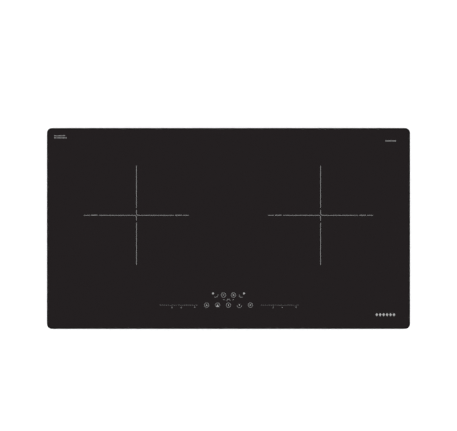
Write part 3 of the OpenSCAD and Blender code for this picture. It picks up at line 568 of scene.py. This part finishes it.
class Print:
    """Printed shapes, gathered into one thin mesh between two heights."""

    # How far a print reaches into the plate
    SUNK = 0.06

    def __init__(self, low=FACE_Z - SUNK, high=GLASS_TOP):
        self.mesh = bmesh.new()
        self.heights = (low, high)

    def column(self, x, y):
        """The lower and the upper vertex of one outline point."""
        return [self.mesh.verts.new((x * MM, y * MM, z * MM)) for z in self.heights]

    def fill(self, outline):
        """A filled shape; its outline runs anticlockwise."""
        skin(self.mesh, [(outline, z) for z in self.heights], smooth=False)

    def strip(self, left, right, closed):
        """A band between two rows of points; left lies on the left hand along the way."""
        pairs = [(self.column(*a), self.column(*b)) for a, b in zip(left, right)]
        spans = zip(pairs, pairs[1:] + pairs[:1]) if closed else zip(pairs, pairs[1:])
        for (la, ra), (lb, rb) in spans:
            self.mesh.faces.new([la[1], ra[1], rb[1], lb[1]])
            self.mesh.faces.new([lb[0], rb[0], ra[0], la[0]])
            self.mesh.faces.new([la[0], la[1], lb[1], lb[0]])
            self.mesh.faces.new([ra[1], ra[0], rb[0], rb[1]])
        if not closed:
            (la, ra), (lb, rb) = pairs[0], pairs[-1]
            self.mesh.faces.new([la[0], ra[0], ra[1], la[1]])
            self.mesh.faces.new([lb[1], rb[1], rb[0], lb[0]])

    def line(self, points, width):
        """An open line of even width with square ends; a mitre is at most as long as the width."""
        least_turn = 0.5
        points = [Vector(p) for p in points]
        left, right = [], []
        for i, point in enumerate(points):
            before = (point - points[i - 1]).normalized() if i else None
            after = (points[i + 1] - point).normalized() if i + 1 < len(points) else None
            ahead = ((before or after) + (after or before)).normalized()
            side = Vector((-ahead.y, ahead.x))
            turn = side.dot(Vector((-(after or before).y, (after or before).x)))
            offset = side * (width / 2 / max(turn, least_turn))
            left.append(point + offset)
            right.append(point - offset)
        self.strip(left, right, False)

    def ring(self, centre, radius, width):
        outer = arc(centre, radius + width / 2, 0, 360)[:-1]
        inner = arc(centre, radius - width / 2, 0, 360)[:-1]
        self.strip(inner, outer, True)

    def dot(self, centre, radius):
        self.fill(arc(centre, radius, 0, 360)[:-1])

    def box(self, centre, width, height):
        self.fill(rectangle(centre, width, height))

    def build(self, name, material):
        return finish_piece(name, self.mesh, [material])


# ---------- glass plate ----------

def build_glass(materials):
    """The plate with a softened lower edge and a ground bevel round its face."""
    corner_r, flat_from = 10.0, 6.0
    lower_edge, bevel_w, bevel_h = 0.4, 2.6, 1.0
    edge_radii = [0.2, 0.2, 0.12, 0.06]
    # The ground finish and its painted shade go a little way down the side, and stop short of the face
    ground_shaded_above, ground_shaded_within = GLASS_TOP - bevel_h - 0.2, bevel_w - 0.3
    path = [Vector(p) for p in [
        (flat_from, GLASS_UNDER), (lower_edge, GLASS_UNDER), (0, GLASS_UNDER + lower_edge),
        (0, GLASS_TOP - bevel_h), (bevel_w, FACE_Z), (flat_from, FACE_Z),
    ]]
    outlines, bands = [], []
    for inset, z in filleted(path, edge_radii):
        outline = rounded_outline(GLASS_W - 2 * inset, GLASS_D - 2 * inset, corner_r - inset)
        outlines.append((outline, z))
        bands.append(1 if z > ground_shaded_above and inset < ground_shaded_within else 0)
    shape = bmesh.new()
    skin(shape, outlines, bands[:-1])
    finishes = [materials["glass_ceramic"], ground_bevel_painted_shade()]
    plate = finish_piece("glass_plate", shape, finishes, "glass_top")
    keep_flats_flat(plate)


# ---------- prints ----------

LINE_W = 0.6
ICON_W = 0.47
FINE_W = 0.35
KEY_PITCH = 22.0
FRONT_ROW_Y = -154.0
UPPER_ROW_Y = -133.7
KEY_R = 4.5


def coil_sign(art, x0, x1, y, width):
    """A row of small loops, as the sign for a coil."""
    loops = 6
    pitch = (x1 - x0) / loops
    points = []
    for i in range(loops):
        points += arc((x0 + pitch * (i + 0.5), y - pitch / 4), pitch / 2, 180, 0, 30)[:-1]
    art.line(points + [(x1, y - pitch / 4)], width)


def print_zone(side, material):
    """Cross lines of one zone, with the turned ornament at their crossing."""
    low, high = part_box(f"coil_winding_{side}")
    cx, cy = ((low + high) / 2 / MM).xy
    turn_r, stub, gap_end, reach = 3.8, 11.0, 14.8, 99.8
    inner, sign_in, sign_out, dash_in, dash_out = 75.5, 78.5, 91.5, 93.5, 105.5
    art = Print()
    # From the upper stub round into the right-hand line, and the same turned half round
    for s in (1, -1):
        bend = arc((s * turn_r, s * turn_r), turn_r, 180 if s > 0 else 0, 270 if s > 0 else 90)
        bend = [(cx + x, cy + y) for x, y in bend]
        art.line([(cx, cy + s * stub), *bend, (cx + s * inner, cy)], LINE_W)
        art.line([(cx, cy + s * gap_end), (cx, cy + s * reach)], LINE_W)
        art.line([(cx + s * dash_in, cy), (cx + s * dash_out, cy)], LINE_W)
        ends = sorted([cx + s * sign_in, cx + s * sign_out])
        coil_sign(art, ends[0], ends[1], cy, LINE_W)
    art.build(f"print_zone_{side}", material)


def lock_sign(art, x, y):
    """Body and shackle."""
    body_w, body_h, body_drop = 2.3, 1.7, 0.7
    shackle_r, foot, rise = 0.7, 0.15, 0.7
    art.box((x, y - body_drop), body_w, body_h)
    shackle = arc((x, y + rise), shackle_r, 180, 0, 30)
    art.line([(x - shackle_r, y + foot), *shackle, (x + shackle_r, y + foot)], FINE_W)


def warm_sign(art, x, y):
    """Cover over a heap."""
    heap_w, heap_base, shoulder_w, shoulder, peak = 3.7, -3.3, 1.3, -1.0, 1.6
    art.line(arc((x, y), KEY_R, -20, 200), ICON_W)
    art.fill([
        (x - heap_w, y + heap_base), (x + heap_w, y + heap_base), (x + shoulder_w, y + shoulder),
        (x, y + peak), (x - shoulder_w, y + shoulder),
    ])


def melt_sign(art, x, y):
    """Drop in a dish."""
    dish_r, drop_r, drop_rise, tip = KEY_R + 0.2, 1.05, 0.9, -1.5
    art.line(arc((x, y), dish_r, 188, 352), ICON_W)
    art.fill(arc((x, y + drop_rise), drop_r, -30, 210) + [(x, y + tip)])


def print_front_keys(material):
    """Lock, warm, on/off, melt and pause keys."""
    power_w, power_h = 1.1, 3.9
    pause_w, pause_h, pause_x = 0.9, 3.3, 0.8
    art = Print()
    y = FRONT_ROW_Y
    lock, warm, power, melt, pause = [i * KEY_PITCH for i in (-2, -1, 0, 1, 2)]
    for x in (lock, power, pause):
        art.ring((x, y), KEY_R, ICON_W)
    lock_sign(art, lock, y)
    warm_sign(art, warm, y)
    art.box((power, y), power_w, power_h)
    melt_sign(art, melt, y)
    for s in (-1, 1):
        art.box((pause + s * pause_x, y), pause_w, pause_h)
    art.build("print_front_keys", material)


def print_upper_keys(material):
    """Minus and plus, the two zone keys beside them, and the timer mark below."""
    minus_x, plus_x, zone_x = -10, 10, 26
    bar, stroke = 3.4, 0.9
    timer_y, timer_r = -144.9, 3.1
    dash_start, dash_end = (8.0, -143.6), (10.8, -142.6)
    art = Print()
    y = UPPER_ROW_Y
    for x in (minus_x, plus_x):
        art.ring((x, y), KEY_R, ICON_W)
        art.box((x, y), bar, stroke)
    for s in (-1, 1):
        art.box((plus_x, y + s * (bar + stroke) / 4), stroke, (bar - stroke) / 2)
    for s in (-1, 1):
        start, end = (-120, 10) if s < 0 else (170, 300)
        art.line(arc((s * zone_x, y), KEY_R, start, end), ICON_W)
    # Timer: an arch over the on/off key, with a short dash on each side
    art.line(arc((0, timer_y), timer_r, 190, -10), ICON_W)
    for s in (-1, 1):
        art.line([(s * out, up) for out, up in (dash_start, dash_end)], ICON_W)
    art.build("print_upper_keys", material)


def print_indicators(material):
    """Bright dots that stand for the chosen zone."""
    x, y, radius = 31.1, -130.5, 1.9
    art = Print()
    for s in (-1, 1):
        art.dot((s * x, y), radius)
    art.build("print_indicators", material)


def digit_lines(digit):
    """Strokes of a small digit in a box 1 wide and 2 high, centred."""
    if digit == 3:
        return [arc((0, 0.5), 0.5, 150, -90, 30) + arc((0, -0.5), 0.5, 90, -150, 30)[1:]]
    if digit == 6:
        return [arc((0.5, -0.45), 1.2, 120, 180, 20) + arc((-0.05, -0.5), 0.5, 180, 530, 30)]
    # A 9 is a 6 turned half round
    return [[(-x, -y) for x, y in line] for line in digit_lines(6)]


def print_slider(side, material):
    """Row of dashes with three small digits below it."""
    start = -138.0 if side == "left" else 65.5
    dashes, pitch, dash, height = 19, 4.05, 2.5, 0.3
    digit_size, digit_drop = 1.2, 4.5
    art = Print()
    for i in range(dashes):
        art.box((start + dash / 2 + pitch * i, FRONT_ROW_Y), dash, height)
    for digit, along in ((3, 24.2), (6, 43.0), (9, 70.0)):
        cx, cy = start + along, FRONT_ROW_Y - digit_drop
        for line in digit_lines(digit):
            art.line([(cx + digit_size * x, cy + digit_size * y) for x, y in line], FINE_W)
    art.build(f"print_slider_{side}", material)


def tile_row(art, x0, x1, y, height, count, share):
    """Even row of plain upright tiles, each share of its pitch wide."""
    pitch = (x1 - x0) / count
    for i in range(count):
        art.box((x0 + pitch * (i + 0.5), y), pitch * share, height)


def print_corner_marks(material):
    """Plain rows of tiles where a maker would put its marks."""
    art = Print()
    tile_row(art, -351, -328, y=186.4, height=2.0, count=9, share=0.4)
    tile_row(art, -351, -325, y=182.2, height=2.0, count=10, share=0.4)
    tile_row(art, 315, 337, y=176, height=2.1, count=9, share=0.46)
    art.build("print_corner_marks", material)


def print_front_mark(material):
    """Row of lozenges in the front right-hand corner."""
    art = Print()
    count, x0, y, pitch, half_w, half_h = 6, 298.0, -173.2, 6.9, 2.7, 3.4
    for i in range(count):
        x = x0 + pitch * i
        art.fill([(x - half_w, y), (x, y - half_h), (x + half_w, y), (x, y + half_h)])
    art.build("print_front_mark", material)


def build_prints(materials):
    enamel = materials["screen_print"]
    for side in SIDES:
        print_zone(side, enamel)
        print_slider(side, enamel)
    print_front_keys(enamel)
    print_upper_keys(enamel)
    print_indicators(enamel)
    print_corner_marks(enamel)
    print_front_mark(enamel)


# ---------- inside ----------

def zone_turn(side):
    """The right zone is the left one turned half round."""
    return 0 if side == "left" else math.pi


def zone_place(side):
    """From a zone's own frame, whose origin is below the coil's middle, to the object's; in metres."""
    low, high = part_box(f"coil_winding_{side}")
    middle = Matrix.Translation(((low.x + high.x) / 2, (low.y + high.y) / 2, 0))
    return middle @ Matrix.Rotation(zone_turn(side), 4, "Z")


def build_coil(side, materials):
    """Flat spiral of stranded wire: twisted bundles, wound from the outer lead inwards."""
    bundles, lay, step = 7, 30.0, 2.2
    crest, valley = 1.65, 1.4
    pitch, turns = 3.4, 19
    lead_x, lead_y = -97, 14
    low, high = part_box(f"coil_winding_{side}")
    centre = (low + high) / 2 / MM
    outer = (high.x - low.x) / 2 / MM - (high.z - low.z) / 2 / MM
    start = math.atan2(lead_y, lead_x) + zone_turn(side)
    section = []
    for i in range(2 * bundles):
        angle = math.pi * i / bundles
        radius = valley if i % 2 else crest
        section.append((radius * math.cos(angle), radius * math.sin(angle)))
    points, wound = [], 0.0
    while wound < turns * math.tau:
        radius = outer - pitch * wound / math.tau
        angle = start + wound
        points.append((centre.x + radius * math.cos(angle), centre.y + radius * math.sin(angle), centre.z))
        wound += step / radius
    shape = bmesh.new()
    sweep(shape, points, section, twist=math.tau / lay)
    finishes = [materials["litz_copper"]]
    finish_piece(f"litz_coil_{side}", shape, finishes, f"coil_winding_{side}")


def choke_loops(centre, ring_r, half_w, half_h, start):
    """Points of one winding: flattened loops close to the core's rectangle, with round corners."""
    turns, turn_pitch, steps, squareness = 7, math.radians(18), 28, 4
    points = []
    for i in range(turns * steps + 1):
        round_core = math.tau * i / steps - math.pi / 2
        along_ring = start + turn_pitch * (i / steps - turns / 2)
        c, s = math.cos(round_core), math.sin(round_core)
        stretch = (abs(c) ** squareness + abs(s) ** squareness) ** (-1 / squareness)
        radius = ring_r + half_w * c * stretch
        x = centre.x + radius * math.cos(along_ring)
        y = centre.y + radius * math.sin(along_ring)
        points.append((x, y, centre.z + half_h * s * stretch))
    return points


def build_choke(materials):
    """Ferrite ring with two windings, whose ends go down to the board."""
    ring_r, core_w, core_h, core_round = 15.0, 9.0, 11.0, 1.2
    wire_r, clear = 0.9, 0.15
    low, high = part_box("filter_choke")
    centre = (low + high) / 2 / MM
    board_z = low.z / MM
    shape = bmesh.new()
    circle = [(centre.x + x, centre.y + y, centre.z) for x, y in arc((0, 0), ring_r, 0, 360, 5)[:-1]]
    core = rounded_outline(core_w, core_h, core_round, 3)
    sweep(shape, circle, core, side=(1, 0, 0), closed=True, material_index=1)
    half_w = core_w / 2 + wire_r + clear
    half_h = core_h / 2 + wire_r + clear
    round_wire = arc((0, 0), wire_r, 0, 360, 36)[:-1]
    for start in (0, math.pi):
        loops = choke_loops(centre, ring_r, half_w, half_h, start)
        ends = [(*Vector(p).xy, board_z) for p in (loops[0], loops[-1])]
        sweep(shape, [ends[0], *loops, ends[1]], round_wire)
    finishes = [materials["enamelled_copper"], materials["ferrite"]]
    finish_piece("wound_choke", shape, finishes, "filter_choke")


def solid_boxes(node):
    """Lowest and highest corner of each separate solid of a CAD node, and its number of points."""
    same_point = 0.001
    shape = bmesh.new()
    shape.from_mesh(frame["nodes"][node].data)
    bmesh.ops.remove_doubles(shape, verts=shape.verts, dist=same_point * MM)
    unseen = set(shape.verts)
    found = []
    while unseen:
        island, front = [], [unseen.pop()]
        while front:
            vertex = front.pop()
            island.append(vertex.co.copy())
            linked = {edge.other_vert(vertex) for edge in vertex.link_edges} & unseen
            unseen -= linked
            front += linked
        corners = [Vector(pick(co[axis] for co in island) for axis in range(3)) for pick in (min, max)]
        found.append((corners[0] / MM, corners[1] / MM, len(island)))
    shape.free()
    return sorted(found, key=lambda solid: tuple(solid[0]))


def film_capacitor(shape, low, high):
    """A moulded box with rounded edges and a shallow step round its foot."""
    corner, least_corner, foot_h, foot_in, cap_in = 1.2, 0.3, 1.0, 0.35, 2.5
    edge_radii = [0.05, 0.05, 0.2, 0.8]
    width, depth = (high - low).xy
    middle = (low + high) / 2
    path = [Vector(p) for p in [
        (cap_in, low.z), (foot_in, low.z), (foot_in, low.z + foot_h),
        (0, low.z + foot_h), (0, high.z), (cap_in, high.z),
    ]]
    outlines = []
    for inset, z in filleted(path, edge_radii):
        radius = max(corner - inset, least_corner)
        outline = rounded_outline(width - 2 * inset, depth - 2 * inset, radius, 4)
        outlines.append(([(middle.x + x, middle.y + y) for x, y in outline], z))
    skin(shape, outlines)


def electrolytic_capacitor(shape, low, high):
    """An aluminium can in a dark sleeve, with its crimp near the foot and its bare top."""
    middle = (low + high) / 2
    radius = (high.x - low.x) / 2
    foot_round, crimp, crimp_half, crimp_z = 0.5, 0.6, 0.8, low.z + 2.5
    rim_h, curl_in, curl_drop, rim_in = 0.7, 0.3, 0.15, 0.8
    lid_r, lid_slope, lid_z, lid_middle = radius - 1.2, 0.3, high.z - 0.35, 1.0
    # Radius and height, up the sleeve, and then over the rim and down onto the lid
    sleeve = [
        (radius - foot_round, low.z), (radius, low.z + foot_round),
        (radius, crimp_z - crimp_half), (radius - crimp, crimp_z), (radius, crimp_z + crimp_half),
        (radius, high.z - rim_h), (radius - curl_in, high.z - curl_drop),
    ]
    top = [(radius - rim_in, high.z), (lid_r, high.z), (lid_r - lid_slope, lid_z), (lid_middle, lid_z)]
    outlines = [(arc(middle.xy, r, 0, 360)[:-1], z) for r, z in sleeve + top]
    skin(shape, outlines, [1] * len(sleeve) + [2] * (len(top) - 1))


def build_capacitors(node, materials):
    """Film capacitors for a node's boxes, and electrolytic ones for its cylinders."""
    box_points = 8
    shape = bmesh.new()
    for low, high, points in solid_boxes(node):
        make = film_capacitor if points == box_points else electrolytic_capacitor
        make(shape, low, high)
    finishes = [materials[name] for name in ("capacitor_cases", "epoxy_package", "aluminium_sheet")]
    piece = finish_piece(f"fitted_{node}", shape, finishes, node)
    keep_flats_flat(piece)


def chip(shape, centre, z, size, legs):
    """A square package, material 0, with as many bent legs on each side, material 1."""
    height, lift, lean = 1.4, 0.15, 0.25
    leg_margin, leg_share, leg_t = 0.6, 0.5, 0.15
    leg_inside, shoulder, ankle, toe = -0.1, 0.4, 0.6, 1.1
    waist_z, foot_z = z + lift + height / 2, z + leg_t / 2
    skin(shape, [
        (rectangle(centre, size - lean, size - lean), z + lift),
        (rectangle(centre, size, size), waist_z),
        (rectangle(centre, size - lean, size - lean), z + lift + height),
    ], smooth=False)
    pitch = (size - 2 * leg_margin) / (legs - 1)
    section = rectangle((0, 0), pitch * leg_share, leg_t)
    # Along a leg: how far out from the package's side, and how high
    path = [(leg_inside, waist_z), (shoulder, waist_z), (ankle, foot_z), (toe, foot_z)]
    for quarter in range(4):
        turn = Matrix.Rotation(math.radians(90 * quarter), 3, "Z")
        for i in range(legs):
            along = pitch * (i - (legs - 1) / 2)
            leg = [turn @ Vector((size / 2 + out, along, height)) for out, height in path]
            leg = [(centre[0] + p.x, centre[1] + p.y, p.z) for p in leg]
            sweep(shape, leg, section, side=turn @ Vector((0, 1, 0)), material_index=1)


def chip_resistor(shape, centre, z, turned=False):
    """A small two-ended part along X, or along Y where turned: a dark body between tinned ends."""
    length, width, height = 2.0, 1.25, 0.55
    end, tin_w, tin_h = 0.4, 0.04, 0.03
    x, y = centre
    end_at = (length - end) / 2
    # Place along the part, length, width and height of each block, and its material
    blocks = [(0, length - 2 * end, width, height, 0)]
    blocks += [(s * end_at, end, width + tin_w, height + tin_h, 1) for s in (-1, 1)]
    for along, block_l, block_w, block_h, index in blocks:
        outline = rectangle((x + along, y), block_l, block_w)
        if turned:
            outline = rectangle((x, y + along), block_w, block_l)
        skin(shape, [(outline, z), (outline, z + block_h)], [index], smooth=False)


def resistor_field(shape, corner, pitch, columns, rows, z, turned=False):
    """Rows and columns of small parts, from their front left-hand corner."""
    for row in range(rows):
        for column in range(columns):
            centre = (corner[0] + pitch[0] * column, corner[1] + pitch[1] * row)
            chip_resistor(shape, centre, z, turned)


def build_board_parts(side, materials):
    """Controller, driver and fields of small parts on a power board's free areas, in the zone's frame."""
    controller_at, driver_at = (-98, -68), (-66, -68)
    # Each field's front left-hand corner, pitch, columns and rows, and whether its parts are turned
    fields = [
        ((-84, -74), (2.2, 4), 6, 4, True),
        ((-26, -44), (4.5, 6), 5, 3, False),
        ((-121, -52), (0, 9), 1, 5, True),
    ]
    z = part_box(f"power_board_{side}")[0].z / MM + BOARD_T
    shape = bmesh.new()
    chip(shape, controller_at, z, size=10.0, legs=11)
    chip(shape, driver_at, z, size=6.0, legs=5)
    for corner, pitch, columns, rows, turned in fields:
        resistor_field(shape, corner, pitch, columns, rows, z, turned)
    bmesh.ops.transform(shape, matrix=zone_place(side), verts=shape.verts)
    finishes = [materials["epoxy_package"], materials["zinc_plated_steel"]]
    finish_piece(f"board_parts_{side}", shape, finishes)


def build_touch_parts(materials):
    """A touch controller and small parts behind each slider."""
    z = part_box("touch_board")[1].z / MM
    controller_x, controller_y = 98, -133
    row_x, row_y, row_pitch, row_count = 101.5, -146, 6, 12
    beside, beside_pitch, beside_count = 12, 3, 4
    shape = bmesh.new()
    for s in (-1, 1):
        chip(shape, (s * controller_x, controller_y), z, size=7.0, legs=8)
        row_start = (s * row_x - row_pitch * (row_count - 1) / 2, row_y)
        resistor_field(shape, row_start, (row_pitch, 0), row_count, 1, z)
        beside_y = controller_y - beside_pitch * (beside_count - 1) / 2
        beside_start = (s * (controller_x + beside), beside_y)
        resistor_field(shape, beside_start, (0, beside_pitch), 1, beside_count, z)
    finishes = [materials["epoxy_package"], materials["zinc_plated_steel"]]
    finish_piece("touch_board_parts", shape, finishes)


def build_inside(materials):
    for side in SIDES:
        build_coil(side, materials)
        build_capacitors(f"resonance_capacitors_{side}", materials)
        build_board_parts(side, materials)
    build_capacitors("filter_capacitors", materials)
    build_touch_parts(materials)
    build_choke(materials)


# ---------- underside ----------

def build_label_rules(material):
    """Plain ruled table on the foil under the tray."""
    low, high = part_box("rating_label")
    half_t, margin, rule_w = 0.03, 4.0, 0.25
    rows, column_ends = 6, (0, 0.4, 1)
    width = (high.x - low.x) / MM - 2 * margin
    depth = (high.y - low.y) / MM - 2 * margin
    middle = (low + high) / 2 / MM
    face_z = low.z / MM
    table = Print(face_z - half_t, face_z + half_t)
    for i in range(rows + 1):
        table.box((middle.x, middle.y + depth * (i / rows - 0.5)), width, rule_w)
    for share in column_ends:
        x = middle.x + width * (share - 0.5)
        for i in range(rows):
            y = middle.y + depth * ((i + 0.5) / rows - 0.5)
            table.box((x, y), rule_w, depth / rows - rule_w)
    table.build("label_rules", material)


# ---------- carried-over nodes ----------

def dress_nodes(materials):
    """Every CAD node gets its slot's material, and the power boards the one that tells their parts."""
    power_board = fitted_board()
    for part in frame["record"]["subparts"]:
        node = frame["nodes"][part["node"]]
        node.data.materials.clear()
        finish = power_board if node.name.startswith("power_board") else materials[part["material_slot"]]
        node.data.materials.append(finish)


def soften_edges(node, width, segments=2):
    """Joins the mesh's seams and rounds its sharp edges; width in millimetres."""
    same_point, sharp_from = 0.002, 35
    piece = frame["nodes"][node]
    weld = piece.modifiers.new("weld", "WELD")
    weld.merge_threshold = same_point * MM
    bevel = piece.modifiers.new("bevel", "BEVEL")
    bevel.width = width * MM
    bevel.segments = segments
    bevel.limit_method = "ANGLE"
    bevel.angle_limit = math.radians(sharp_from)
    bevel.harden_normals = True


def soften_visible_nodes():
    """Rounds the plain edges that show from outside."""
    for side in SIDES:
        soften_edges(f"bracket_front_{side}", width=0.35, segments=3)
        soften_edges(f"bracket_rear_{side}", width=0.35, segments=3)
    soften_edges("cable_gland", width=0.4, segments=3)
    soften_edges("terminal_cover", width=0.2)


# ---------- the whole ----------

bpy.context.scene.view_settings.view_transform = "Standard"
build_camera()
build_lights()
build_world()
build_floor()
all_materials = build_materials()
dress_nodes(all_materials)
soften_visible_nodes()
build_glass(all_materials)
build_prints(all_materials)
build_inside(all_materials)
build_label_rules(all_materials["label_ink"])
